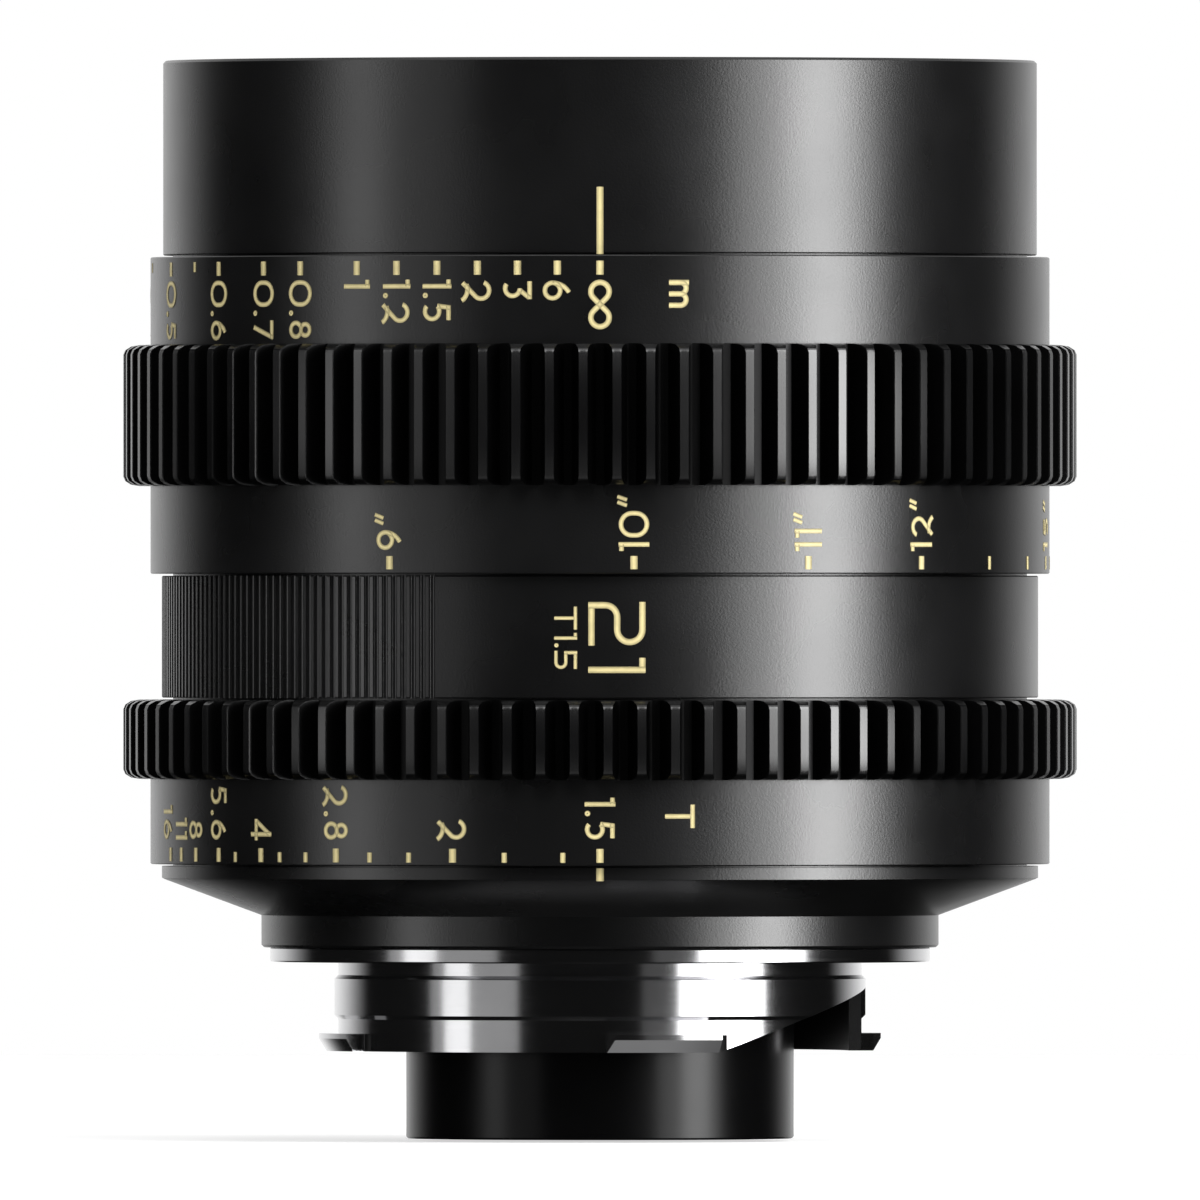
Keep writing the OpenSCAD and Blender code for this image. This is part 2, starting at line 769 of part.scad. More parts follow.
module carrier() {
    color([0.35, 0.35, 0.37]) difference() {
        turned([[carrier_bore, z_carrier], [carrier_r, z_carrier], [carrier_r, z_carrier_top],
                [carrier_bore, z_carrier_top], [carrier_bore, z_web + web_h],
                [web_bore, z_web + web_h], [web_bore, z_web], [carrier_bore, z_web]]);
        for (i = [0:guide_count - 1])
            radial_block(i * 360 / guide_count, carrier_r - guide_depth, carrier_r + 1,
                         guide_w + 2 * running_gap, z_carrier - 1,
                         z_guide() + guide_h + running_gap);
    }
}

module front_cell() {
    low = z_ret2 - 0.1;
    z_shoulder = z_web + web_h;
    color([0.06, 0.06, 0.065]) turned([
        [l3_r + seat_gap, low], [cell_neck_r, low], [cell_neck_r, z_shoulder],
        [cell_r, z_shoulder], [cell_r, z_carrier_top], [head_r, z_carrier_top],
        [head_r, z_head_top - 0.3], [head_r - 0.3, z_head_top], [ret1_r + seat_gap, z_head_top],
        [ret1_r + seat_gap, z_ret1], [l1_r + seat_gap, z_ret1], [l1_r + seat_gap, z_l1_seat],
        [l2_r + seat_gap, z_l1_seat], [l2_r + seat_gap, z_l2_seat], [lip_bore, z_l2_seat],
        [lip_bore, z_l2_seat - lip_h], [l3_r + seat_gap, z_l2_seat - lip_h]]);
}

module front_element() {
    color([0.6, 0.75, 0.85, 0.5]) difference() {
        intersection() {
            translate([0, 0, z_l1_seat]) cylinder(z_l1 - z_l1_seat, r = l1_r);
            dome_up(l1_front, z_l1);
        }
        dome_up(l1_back, z_l1 - l1_t);
    }
}

module front_retaining_ring() {
    slot_w = 1.6;
    slot_d = 0.9;
    color([0.05, 0.05, 0.055]) difference() {
        turned([[ret1_bore, z_ret1], [ret1_r, z_ret1], [ret1_r, z_head_top],
                [ret1_r - 1, z_head_top], [ret1_bore, z_ret1 + 0.4]]);
        for (az = [0, 180])
            radial_block(az, ret1_r - 2, ret1_r + 1, slot_w, z_head_top - slot_d, z_head_top + 1);
    }
}

module spacer_ring_1() {
    inner = l2_r - spacer_wall;
    color("black") ring(l2_r, inner, z_l2 - sag(l2_front, inner) + 0.06, z_l1_seat - 0.06);
}

module second_element() {
    color([0.6, 0.75, 0.85, 0.5]) difference() {
        intersection() {
            translate([0, 0, z_l2_seat]) cylinder(z_l2 - z_l2_seat, r = l2_r);
            dome_up(l2_front, z_l2);
        }
        dome_up(l2_back, z_l2 - l2_t);
    }
}

module third_element() {
    color([0.6, 0.75, 0.85, 0.5]) intersection() {
        translate([0, 0, z_l3 - l3_t]) cylinder(l3_t, r = l3_r);
        dome_up(l3_curve, z_l3);
        dome_down(l3_curve, z_l3 - l3_t);
    }
}

module spacer_ring_2() {
    inner = lip_bore;
    color("black") ring(l3_r, inner, z_l4 + sag(l4_front, l3_r) + 0.06,
                        z_l3 - l3_t + sag(l3_curve, inner) - 0.06);
}

// A hollow front face on the axis at z, and a hollow back face that the next glass fills
module fourth_element() {
    top = z_l4 + sag(l4_front, l3_r);
    low = z_l4 - l4_t - sag(l4_back, l3_r);
    color([0.6, 0.75, 0.85, 0.5]) difference() {
        translate([0, 0, low]) cylinder(top - low, r = l3_r);
        dome_down(l4_front, z_l4);
        dome_up(l4_back, z_l4 - l4_t);
    }
}

module fifth_element() {
    color([0.6, 0.75, 0.85, 0.5]) intersection() {
        translate([0, 0, z_l5 - l5_t]) cylinder(l5_t, r = l3_r);
        dome_up(l4_back, z_l5);
        dome_down(l5_back, z_l5 - l5_t);
    }
}

module doublet_retaining_ring() {
    color("black") ring(l3_r, ret2_bore, z_ret2, z_ret2 + ret2_h);
}

// Cover plate with the wall that closes the iris, open where the arm swings
module iris_cover() {
    arm_half = asin(fork_w / 2 / (iris_r - iris_wall));
    color([0.2, 0.2, 0.21]) difference() {
        turned([[cell_neck_r + 0.3, z_carrier], [iris_r, z_carrier],
                [iris_r, z_base + iris_plate], [iris_r - iris_wall, z_base + iris_plate],
                [iris_r - iris_wall, z_iris_plate], [cell_neck_r + 0.3, z_iris_plate]]);
        ring_arc(iris_r + 1, iris_r - iris_wall - 1, z_base, z_iris_plate - 0.05,
                 drive_az - arm_half - arm_gap_angle,
                 iris_throw + 2 * (arm_half + arm_gap_angle));
    }
}

module iris_base() {
    color([0.2, 0.2, 0.21]) difference() {
        ring(iris_r, aperture_r + 0.2, z_base, z_base + iris_plate);
        for (i = [0:blade_count - 1])
            rotate(i * 360 / blade_count) translate([pivot_r, 0, z_base + 0.2])
                cylinder(iris_plate, r = blade_pin_r + 0.05, $fn = 24);
    }
}

module rear_cell() {
    z_neck = z_base - rear_neck_h;
    lip_top = z_l7_seat - 0.06;
    color([0.06, 0.06, 0.065]) turned([
        [rear_bore, z_rear_cell], [rear_cell_r, z_rear_cell], [rear_cell_r, z_neck],
        [rear_neck_r, z_neck + 1.5], [rear_neck_r, z_base - rear_flange_h],
        [rear_flange_r, z_base - rear_flange_h], [rear_flange_r, z_base], [upper_bore, z_base],
        [upper_bore, lip_top], [rear_lip_bore, lip_top], [rear_lip_bore, lip_top - rear_lip_h],
        [rear_bore, lip_top - rear_lip_h]]);
}

module sixth_element() {
    color([0.6, 0.75, 0.85, 0.5]) intersection() {
        translate([0, 0, z_l6 - l6_t]) cylinder(l6_t, r = l6_r);
        dome_up(l6_front, z_l6);
        dome_down(l6_back, z_l6 - l6_t);
    }
}

module spacer_ring_3() {
    inner = l6_r - spacer3_w;
    color("black") ring(l6_r, inner, z_l7 + sag(l7_front, l7_r) + 0.06,
                        z_l6 - l6_t + sag(l6_back, inner) - 0.06);
}

module seventh_element() {
    top = z_l7 + sag(l7_front, l7_r);
    color([0.6, 0.75, 0.85, 0.5]) difference() {
        translate([0, 0, z_l7_seat]) cylinder(top - z_l7_seat, r = l7_r);
        dome_down(l7_front, z_l7);
        dome_up(l7_back, z_l7 - l7_t);
    }
}

module eighth_element() {
    color([0.6, 0.75, 0.85, 0.5]) intersection() {
        translate([0, 0, z_l8 - l8_t]) cylinder(l8_t, r = l8_r);
        dome_up(l8_front, z_l8);
        dome_down(l8_back, z_l8 - l8_t);
    }
}

module spacer_ring_4() {
    inner = ret3_bore + 0.2;
    color("black") ring(l8_r, inner, z_l9 - sag(l9_front, inner) + 0.06,
                        z_l8 - l8_t + sag(l8_back, inner) - 0.06);
}

module rear_element() {
    color([0.6, 0.75, 0.85, 0.5]) intersection() {
        translate([0, 0, z_l9 - l9_t]) cylinder(l9_t, r = l9_r);
        dome_up(l9_front, z_l9);
        dome_down(l9_back, z_l9 - l9_t);
    }
}

module rear_retaining_ring() {
    top = z_l9 - l9_t + sag(l9_back, ret3_bore) - 0.06;
    color("black") turned([
        [ret3_bore + 0.8, top - ret3_h], [l9_r, top - ret3_h], [l9_r, top], [ret3_bore, top],
        [ret3_bore, top - 0.5]]);
}

main_tube();
grip_barrel();
front_barrel();
front_baffle();
rear_cover();
bayonet_mount();
mount_screws();
rear_shroud();
guide_keys();
helicoid_retainer();
focus_ring();
focus_drive_key();
helicoid_ring();
iris_ring();
iris_drive_pin();
iris_actuator();
carrier();
front_cell();
front_element();
front_retaining_ring();
spacer_ring_1();
second_element();
third_element();
spacer_ring_2();
fourth_element();
fifth_element();
doublet_retaining_ring();
iris_cover();
iris_base();
rear_cell();
sixth_element();
spacer_ring_3();
seventh_element();
eighth_element();
spacer_ring_4();
rear_element();
rear_retaining_ring();
for (i = [1:blade_count])
    iris_blade(i);
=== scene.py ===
"""Dresses the cinema prime lens: finishes for every piece, paint-filled engraving on the rings
and barrels, the filter thread, and a plain studio."""

import json
import math

import bmesh
import bpy
from bpy.props import FloatProperty, FloatVectorProperty, PointerProperty
from mathutils import Matrix, Vector


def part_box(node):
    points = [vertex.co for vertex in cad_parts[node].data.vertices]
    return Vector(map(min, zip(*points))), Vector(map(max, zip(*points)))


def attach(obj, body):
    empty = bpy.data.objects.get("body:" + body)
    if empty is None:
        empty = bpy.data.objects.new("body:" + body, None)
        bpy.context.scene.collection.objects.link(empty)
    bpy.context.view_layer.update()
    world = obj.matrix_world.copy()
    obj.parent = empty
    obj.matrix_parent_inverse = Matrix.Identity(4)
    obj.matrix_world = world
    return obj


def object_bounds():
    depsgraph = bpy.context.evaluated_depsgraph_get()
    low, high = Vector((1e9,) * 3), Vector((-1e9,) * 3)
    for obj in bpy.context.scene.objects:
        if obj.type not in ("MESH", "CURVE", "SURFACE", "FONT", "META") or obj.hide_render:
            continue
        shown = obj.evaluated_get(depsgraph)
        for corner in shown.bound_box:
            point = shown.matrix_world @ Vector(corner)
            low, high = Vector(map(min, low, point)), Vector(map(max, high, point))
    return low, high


bl_info = {
    "name": "Cinema lens dressing",
    "version": (1, 0, 0),
    "blender": (4, 5, 0),
    "location": "View3D > Sidebar > Lens",
    "description": "Finishes, scales and studio for a cinema prime lens",
    "category": "Object",
}

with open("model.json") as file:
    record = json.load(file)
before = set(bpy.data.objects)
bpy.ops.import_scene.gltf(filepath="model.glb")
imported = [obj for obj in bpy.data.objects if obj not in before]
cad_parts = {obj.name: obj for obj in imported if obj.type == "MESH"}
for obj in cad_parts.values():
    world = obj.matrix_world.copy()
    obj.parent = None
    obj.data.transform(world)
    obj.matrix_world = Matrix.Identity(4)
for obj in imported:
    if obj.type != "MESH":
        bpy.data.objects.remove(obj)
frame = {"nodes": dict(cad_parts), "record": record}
NODES = frame["nodes"]
CAD_LOW, CAD_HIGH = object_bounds()
MM = 0.001

# Places on the solids: the scale bands' radius, the foot and the tips of the gear teeth, and the
# bayonet's bore.
BAND_RADIUS = 34.32 * MM
GEAR_FOOT = 34.5 * MM
GEAR_TIP = 36.3 * MM
BAYONET_BORE = 19.92 * MM

# Roughness of the cut gear teeth as a share of the blasted bands', and the metallic share on the
# flanks under their tips, which takes their reflection away: painted shade between the teeth.
CUT_POLISH = 0.88
FLANK_SHADE_SHARE = 0.75

# Widths of the marks that differ from a scale's main ticks and numerals.
MINOR_TICK = 0.4 * MM
INDEX_LINE = 0.53 * MM
IRIS_INDEX = 0.58 * MM
INFINITY_STROKE = 0.43 * MM
METRE_STROKE = 0.41 * MM

# Marks of the two distance scales, with their angles to the right of the front index in degrees.
METRES = (
    ("infinity", 0.0), ("6", -5.4), ("3", -10.5), ("2", -15.7), ("1.5", -21.1), ("1.2", -26.7),
    ("1", -32.5), ("0.8", -41.5), ("0.7", -48.1), ("0.6", -57.6), ("0.5", -72.1), ("0.4", -93.5),
    ("0.3", -138.0),
)
METRE_TICKS = (-63.9, -84.0, -112.0, -154.0, -180.0)
NEAREST_METRE = -207.7
INCHES = (
    ("9", -27.7), ("10", 4.3), ("11", 27.4), ("12", 45.3), ("15", 82.0), ("18", 101.0),
    ("24", 123.1), ("36", 144.1), ("infinity", 180.0),
)
INCH_TICKS = (59.6, 71.5, 88.0, 95.0, 109.0, 117.0)

# Marks of the stop scale: numeral, angle, and how far the numeral stands aside of its tick.
STOPS = (
    ("1.5", 0.0, 0.0), ("2", -19.0, 0.0), ("2.8", -35.7, 0.0), ("4", -48.6, 0.0),
    ("5.6", -57.6, 0.0), ("8", -63.6, 0.0), ("11", -68.2, 0.0), ("16", -72.3, 1.2),
)
STOP_TICKS = (-4.7, -12.2, -25.0, -30.6, -40.6, -45.1, -53.8)

# Soft boxes: name, angle to the right of the camera, distance, height, height aimed at, width and
# tallness, then the setting that they follow and their share of it.
SOFT_BOXES = (
    ("right_softbox", 55, 0.7, 0.25, 0.25, 0.53, 0.9, "key", 0.32),
    ("right_core", 59, 0.69, 0.25, 0.25, 0.22, 0.9, "key", 0.68),
    ("right_spill", 30, 0.71, 0.25, 0.25, 0.3, 0.9, "key", 0.01),
    ("left_softbox", -57, 0.7, 0.25, 0.25, 0.55, 0.9, "fill", 0.34),
    ("left_core", -65, 0.69, 0.25, 0.25, 0.16, 0.9, "fill", 1.0),
    ("top_softbox", 0, 0.5, 0.72, 0.03, 0.6, 0.6, "top", 1.0),
)
SENSOR_MM = 36.0


def ring_radius(node):
    """Outer radius of a turned node, in metres."""
    low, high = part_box(node)
    return (high[0] - low[0]) / 2


class LensFinish(bpy.types.PropertyGroup):
    """Colours and grain of the finishes"""

    black: FloatVectorProperty(
        name="Black anodising",
        description="Colour of the barrel and the rings",
        subtype="COLOR",
        default=(0.0032, 0.0032, 0.0034),
    )
    paint: FloatVectorProperty(
        name="Scale paint",
        description="Colour of the paint in the engraving",
        subtype="COLOR",
        default=(0.62, 0.53, 0.26),
    )
    chrome: FloatVectorProperty(
        name="Bayonet",
        description="Colour of the chromed bayonet",
        subtype="COLOR",
        default=(0.62, 0.62, 0.63),
    )
    grain: FloatProperty(
        name="Blast grain",
        description="Width of one grain of the blasted surface",
        default=0.00016,
        subtype="DISTANCE",
        precision=5,
    )


class LensScales(bpy.types.PropertyGroup):
    """Sizes of the engraving on the rings"""

    numeral: FloatProperty(
        name="Numeral height",
        description="Height of the numerals on both rings",
        default=0.00233,
        subtype="DISTANCE",
        precision=5,
    )
    stroke: FloatProperty(
        name="Stroke",
        description="Width of an engraved stroke of a numeral",
        default=0.00036,
        subtype="DISTANCE",
        precision=5,
    )
    tick: FloatProperty(
        name="Tick width",
        description="Width of a main mark on a scale",
        default=0.00056,
        subtype="DISTANCE",
        precision=5,
    )
    relief: FloatProperty(
        name="Paint relief",
        description="Height of the paint's edge over the metal",
        default=0.00003,
        subtype="DISTANCE",
        precision=6,
    )


class LensStudio(bpy.types.PropertyGroup):
    """The camera's view and the lights"""

    view_width: FloatProperty(
        name="View width",
        description="Width of the picture at the lens",
        default=0.09162,
        subtype="DISTANCE",
    )
    aim_height: FloatProperty(
        name="Aim height",
        description="Height on the optical axis that the camera looks at",
        default=0.0276,
        subtype="DISTANCE",
    )
    focal: FloatProperty(
        name="Focal length",
        description="Focal length of the camera in millimetres",
        default=1650.0,
    )
    key: FloatProperty(
        name="Right light",
        description="Brightness of the tall soft light on the right",
        default=9.5,
    )
    fill: FloatProperty(
        name="Left light",
        description="Brightness of the tall soft light on the left",
        default=1.1,
    )
    top: FloatProperty(
        name="Top light",
        description="Brightness of the soft light above the camera",
        default=3.0,
    )


def material(name):
    """A new material with its node tree and its shader, linked to the output."""
    mat = bpy.data.materials.new(name)
    mat.use_nodes = True
    tree = mat.node_tree
    tree.nodes.clear()
    out = tree.nodes.new("ShaderNodeOutputMaterial")
    shader = tree.nodes.new("ShaderNodeBsdfPrincipled")
    tree.links.new(shader.outputs["BSDF"], out.inputs["Surface"])
    return mat, tree, shader


def object_noise(tree, size, detail=2.0, stretch=(1.0, 1.0, 1.0)):
    """Noise on Object coordinates whose cells are about size metres wide."""
    coord = tree.nodes.new("ShaderNodeTexCoord")
    place = tree.nodes.new("ShaderNodeMapping")
    place.inputs["Scale"].default_value = stretch
    noise = tree.nodes.new("ShaderNodeTexNoise")
    noise.inputs["Scale"].default_value = 1.0 / size
    noise.inputs["Detail"].default_value = detail
    tree.links.new(coord.outputs["Object"], place.inputs["Vector"])
    tree.links.new(place.outputs["Vector"], noise.inputs["Vector"])
    return noise


def ramp(tree, source, low, high, start=0.35, end=0.65):
    """Turns a noise into a colour or a grey between two values."""
    node = tree.nodes.new("ShaderNodeValToRGB")
    node.color_ramp.elements[0].position = start
    node.color_ramp.elements[1].position = end
    node.color_ramp.elements[0].color = (*low, 1.0)
    node.color_ramp.elements[1].color = (*high, 1.0)
    tree.links.new(source.outputs["Fac"], node.inputs["Fac"])
    return node


def grey(value):
    """A colour with no hue."""
    return (value, value, value)


def scaled(colour, factor):
    """A lighter or darker colour of the same hue."""
    return tuple(min(1.0, c * factor) for c in colour)


def bump(tree, shader, source, depth, strength):
    """Raises the surface by a noise."""
    node = tree.nodes.new("ShaderNodeBump")
    node.inputs["Distance"].default_value = depth
    node.inputs["Strength"].default_value = strength
    tree.links.new(source.outputs["Fac"], node.inputs["Height"])
    tree.links.new(node.outputs["Normal"], shader.inputs["Normal"])
    return node


def off_axis(tree):
    """Distance of a point from the optical axis."""
    coord = tree.nodes.new("ShaderNodeTexCoord")
    flat = tree.nodes.new("ShaderNodeVectorMath")
    flat.operation = "MULTIPLY"
    flat.inputs[1].default_value = (1.0, 1.0, 0.0)
    reach = tree.nodes.new("ShaderNodeVectorMath")
    reach.operation = "LENGTH"
    tree.links.new(coord.outputs["Object"], flat.inputs[0])
    tree.links.new(flat.outputs["Vector"], reach.inputs[0])
    return reach.outputs["Value"]


def within(tree, radius):
    """One inside a radius round the optical axis and nothing outside it."""
    node = tree.nodes.new("ShaderNodeMath")
    node.operation = "LESS_THAN"
    node.inputs[1].default_value = radius
    tree.links.new(off_axis(tree), node.inputs[0])
    return node.outputs["Value"]


def joined(tree, how, first, second):
    """One value made of two by a Math node's operation."""
    node = tree.nodes.new("ShaderNodeMath")
    node.operation = how
    tree.links.new(first, node.inputs[0])
    tree.links.new(second, node.inputs[1])
    return node.outputs["Value"]


def affine(tree, source, factor, offset=0.0):
    """A value times a factor, plus an offset."""
    node = tree.nodes.new("ShaderNodeMath")
    node.operation = "MULTIPLY_ADD"
    node.inputs[1].default_value = factor
    node.inputs[2].default_value = offset
    tree.links.new(source, node.inputs[0])
    return node.outputs["Value"]


def blasted_black(name, colour, grain, rough, strength, gloss=0.9, gear=None):
    """Black anodised aluminium over a fine blasted grain, with a slight unevenness.
    Outside the gear radius, where the teeth are cut, the metal is smoother and has no grain, and
    the flanks under the teeth's tips are made metallic over the near-black colour, which takes
    their reflection away: painted shade between the teeth."""
    mat, tree, shader = material(name)
    fine = object_noise(tree, grain, detail=1.5)
    broad = object_noise(tree, 9 * MM, detail=3.0)
    tint = ramp(tree, broad, scaled(colour, 0.85), scaled(colour, 1.2))
    polish = ramp(tree, broad, grey(rough - 0.015), grey(rough + 0.015))
    tree.links.new(tint.outputs["Color"], shader.inputs["Base Color"])
    tree.links.new(polish.outputs["Color"], shader.inputs["Roughness"])
    shader.inputs["Specular IOR Level"].default_value = gloss
    grained = bump(tree, shader, fine, 0.02 * MM, strength)
    if gear:
        band = within(tree, gear)
        tree.links.new(affine(tree, band, strength), grained.inputs["Strength"])
        share = affine(tree, band, 1.0 - CUT_POLISH, CUT_POLISH)
        rougher = joined(tree, "MULTIPLY", polish.outputs["Color"], share)
        tree.links.new(rougher, shader.inputs["Roughness"])
        # Painted shade: the flanks between the foot and the tips of the teeth lose their
        # reflection through a metallic share.
        flank_shade = joined(tree, "SUBTRACT", within(tree, GEAR_TIP), band)
        tree.links.new(affine(tree, flank_shade, FLANK_SHADE_SHARE), shader.inputs["Metallic"])
    return mat


def polished_chrome(name, colour, black, bore):
    """Chromed brass with faint turning rings, painted matt black inside its bore."""
    mat, tree, shader = material(name)
    rings = object_noise(tree, 4 * MM, stretch=(0.4, 0.4, 26.0))
    cloud = object_noise(tree, 6 * MM, detail=3.0)
    tint = ramp(tree, cloud, scaled(colour, 0.93), scaled(colour, 1.05))
    polish = ramp(tree, rings, grey(0.12), grey(0.14))
    tree.links.new(tint.outputs["Color"], shader.inputs["Base Color"])
    tree.links.new(polish.outputs["Color"], shader.inputs["Roughness"])
    shader.inputs["Metallic"].default_value = 1.0
    bump(tree, shader, rings, 0.002 * MM, 0.01)
    coat = tree.nodes.new("ShaderNodeBsdfPrincipled")
    grain = object_noise(tree, 0.3 * MM, detail=3.0)
    dark = ramp(tree, grain, scaled(black, 0.8), scaled(black, 1.6))
    tree.links.new(dark.outputs["Color"], coat.inputs["Base Color"])
    coat.inputs["Roughness"].default_value = 0.55
    bump(tree, coat, grain, 0.04 * MM, 0.5)
    mix = tree.nodes.new("ShaderNodeMixShader")
    tree.links.new(within(tree, bore), mix.inputs["Fac"])
    tree.links.new(shader.outputs["BSDF"], mix.inputs[1])
    tree.links.new(coat.outputs["BSDF"], mix.inputs[2])
    tree.links.new(mix.outputs["Shader"], tree.nodes["Material Output"].inputs["Surface"])
    return mat


def turned_metal(name, colour, rough):
    """Bare or lightly anodised metal with turning marks, for what lies inside."""
    mat, tree, shader = material(name)
    rings = object_noise(tree, 3 * MM, stretch=(0.5, 0.5, 14.0))
    tint = ramp(tree, rings, scaled(colour, 0.85), scaled(colour, 1.08))
    polish = ramp(tree, rings, grey(rough), grey(min(1.0, rough + 0.15)))
    tree.links.new(tint.outputs["Color"], shader.inputs["Base Color"])
    tree.links.new(polish.outputs["Color"], shader.inputs["Roughness"])
    shader.inputs["Metallic"].default_value = 1.0
    bump(tree, shader, rings, 0.01 * MM, 0.2)
    return mat


def scale_paint(name, colour):
    """Enamel paint, lighter along the middle of a stroke and darker at its edges: a painted
    highlight and painted shade of the engraved groove.
    """
    mat, tree, shader = material(name)
    cloud = object_noise(tree, 0.7 * MM, detail=3.0)
    uneven = ramp(tree, cloud, grey(0.88), grey(1.0))
    across = tree.nodes.new("ShaderNodeAttribute")
    across.attribute_name = "across"
    # Painted highlight along the middle of each stroke and painted shade at its edges, read from
    # the across attribute.
    body = ramp(tree, across, scaled(colour, 1.25), scaled(colour, 0.5), start=0.2, end=1.0)
    tint = tree.nodes.new("ShaderNodeVectorMath")
    tint.operation = "MULTIPLY"
    tree.links.new(body.outputs["Color"], tint.inputs[0])
    tree.links.new(uneven.outputs["Color"], tint.inputs[1])
    tree.links.new(tint.outputs["Vector"], shader.inputs["Base Color"])
    shader.inputs["Roughness"].default_value = 0.45
    bump(tree, shader, cloud, 0.01 * MM, 0.25)
    return mat


def coated_glass(name, tint, film):
    """Clear optical glass with a coating that colours its reflections, film nanometres thick."""
    mat, tree, shader = material(name)
    dust = object_noise(tree, 1.2 * MM, detail=4.0)
    polish = ramp(tree, dust, grey(0.0), grey(0.02), start=0.6, end=0.8)
    tree.links.new(polish.outputs["Color"], shader.inputs["Roughness"])
    shader.inputs["Base Color"].default_value = (*tint, 1.0)
    shader.inputs["Transmission Weight"].default_value = 1.0
    shader.inputs["IOR"].default_value = 1.52
    shader.inputs["Thin Film Thickness"].default_value = film
    shader.inputs["Thin Film IOR"].default_value = 1.38
    return mat


# Each numeral's width and strokes, in a box one unit high: start, heading, a run of lines
# ("l", length) and arcs ("a", radius, turn to the left in degrees), and where it is thinner,
# the share of the stroke's width.
GLYPHS = {
    "0": (0.87, [(0.077, 0.435, 90, [("l", 0.13), ("a", 0.358, -180), ("l", 0.13),
                                     ("a", 0.358, -180)])]),
    "1": (0.31, [(0.215, 0.0, 90, [("l", 1.0)]), (0.215, 0.905, 180, [("l", 0.215)])]),
    "2": (0.76, [(0.10, 0.72, 70, [("a", 0.27, -205), ("l", 0.62)]),
                 (0.16, 0.13, 24, [("a", 0.42, -82)])]),
    "3": (0.72, [(0.06, 0.905, 0, [("l", 0.58)]), (0.60, 0.90, -128, [("l", 0.40)]),
                 (0.29, 0.585, 0, [("a", 0.245, -215)])]),
    "4": (0.76, [(0.54, 0.0, 90, [("l", 1.0)]), (0.56, 0.95, -124, [("l", 0.80)]),
                 (0.04, 0.27, 0, [("l", 0.70)])]),
    "5": (0.72, [(0.13, 0.905, 0, [("l", 0.48)]), (0.20, 0.95, -97, [("l", 0.44)]),
                 (0.155, 0.52, 42, [("a", 0.25, -262)])]),
    "6": (0.72, [(0.11, 0.345, 90, [("a", 0.25, -360)]),
                 (0.11, 0.345, 90, [("a", 0.62, -60)])]),
    "7": (0.68, [(0.04, 0.905, 0, [("l", 0.60)]), (0.60, 0.96, -110, [("l", 1.0)])]),
    "8": (0.70, [(0.125, 0.315, 90, [("a", 0.225, -360)]),
                 (0.165, 0.72, 90, [("a", 0.185, -360)])]),
    "9": (0.72, [(0.61, 0.655, -90, [("a", 0.25, -360)]),
                 (0.61, 0.655, -90, [("a", 0.62, -60)])]),
    ".": (0.15, [(0.03, 0.095, 90, [("a", 0.05, -360)], 0.55)]),
    "T": (0.76, [(0.0, 0.91, 0, [("l", 0.76)]), (0.38, 0.0, 90, [("l", 0.84)])]),
    "m": (1.0, [(0.1, 0.0, 90, [("l", 0.66)]),
                (0.1, 0.38, 90, [("a", 0.185, -180), ("l", 0.38)]),
                (0.47, 0.38, 90, [("a", 0.185, -180), ("l", 0.38)])]),
    "inch": (0.40, [(0.05, 0.73, 70, [("l", 0.33)], 0.85),
                    (0.23, 0.73, 70, [("l", 0.33)], 0.85)]),
    "infinity": (1.63, [(0.815, 0.5, -44.8, [("l", 0.2995), ("a", 0.298, 269.6), ("l", 0.599),
                                             ("a", 0.298, -269.6), ("l", 0.2995)])]),
}
GLYPH_GAP = 0.125

# The squarer numerals of the focal length and the widest stop.
BIG = {
    "2": (0.76, [(0.056, 0.0, 90, [("l", 0.296), ("a", 0.208, -90), ("l", 0.215),
                                   ("a", 0.22, 180), ("l", 0.48)]),
                 (0.112, 0.056, 0, [("l", 0.648)])]),
    "1": (0.266, [(0.21, 0.0, 90, [("l", 1.0)]), (0.154, 0.944, 180, [("l", 0.154)])]),
}
SMALL = {
    "T": (1.0, [(0.0, 0.924, 0, [("l", 1.0)]), (0.5, 0.0, 90, [("l", 0.848)])]),
    "1": (0.3, [(0.224, 0.0, 90, [("l", 1.0)]), (0.148, 0.924, 180, [("l", 0.148)])]),
    ".": (0.19, [(0.045, 0.095, 90, [("a", 0.05, -360)], 0.62)]),
    "5": (0.787, [(0.0, 0.076, 0, [("l", 0.5), ("a", 0.215, 180), ("l", 0.424)]),
                  (0.076, 0.43, 90, [("l", 0.57)]), (0.152, 0.924, 0, [("l", 0.635)])]),
}

# Section of an engraved stroke: places across it in widths, and heights in reliefs.
STROKE_SECTION = ((-0.5, -0.7), (0.5, -0.7), (0.5, 1.0), (0.3, 0.45), (0.0, 0.25), (-0.3, 0.45),
                  (-0.5, 1.0))
# The longest straight step of a stroke in metres, and the widest step of an arc in degrees.
LINE_STEP = 0.00035
ARC_STEP = 12


def engraved_section(bm, at, heading, width, relief):
    """The stroke's closed section: a shallow hollow between two edges. Returns its edges."""
    side = Vector((-math.sin(heading), math.cos(heading), 0.0))
    up = Vector((0.0, 0.0, 1.0))
    across = bm.verts.layers.float["across"]
    verts = []
    for a, b in STROKE_SECTION:
        vert = bm.verts.new(at + side * (a * width) + up * (b * relief))
        vert[across] = abs(a) * 2
        verts.append(vert)
    return [bm.edges.new((verts[i], verts[i - 1])) for i in range(len(verts))]


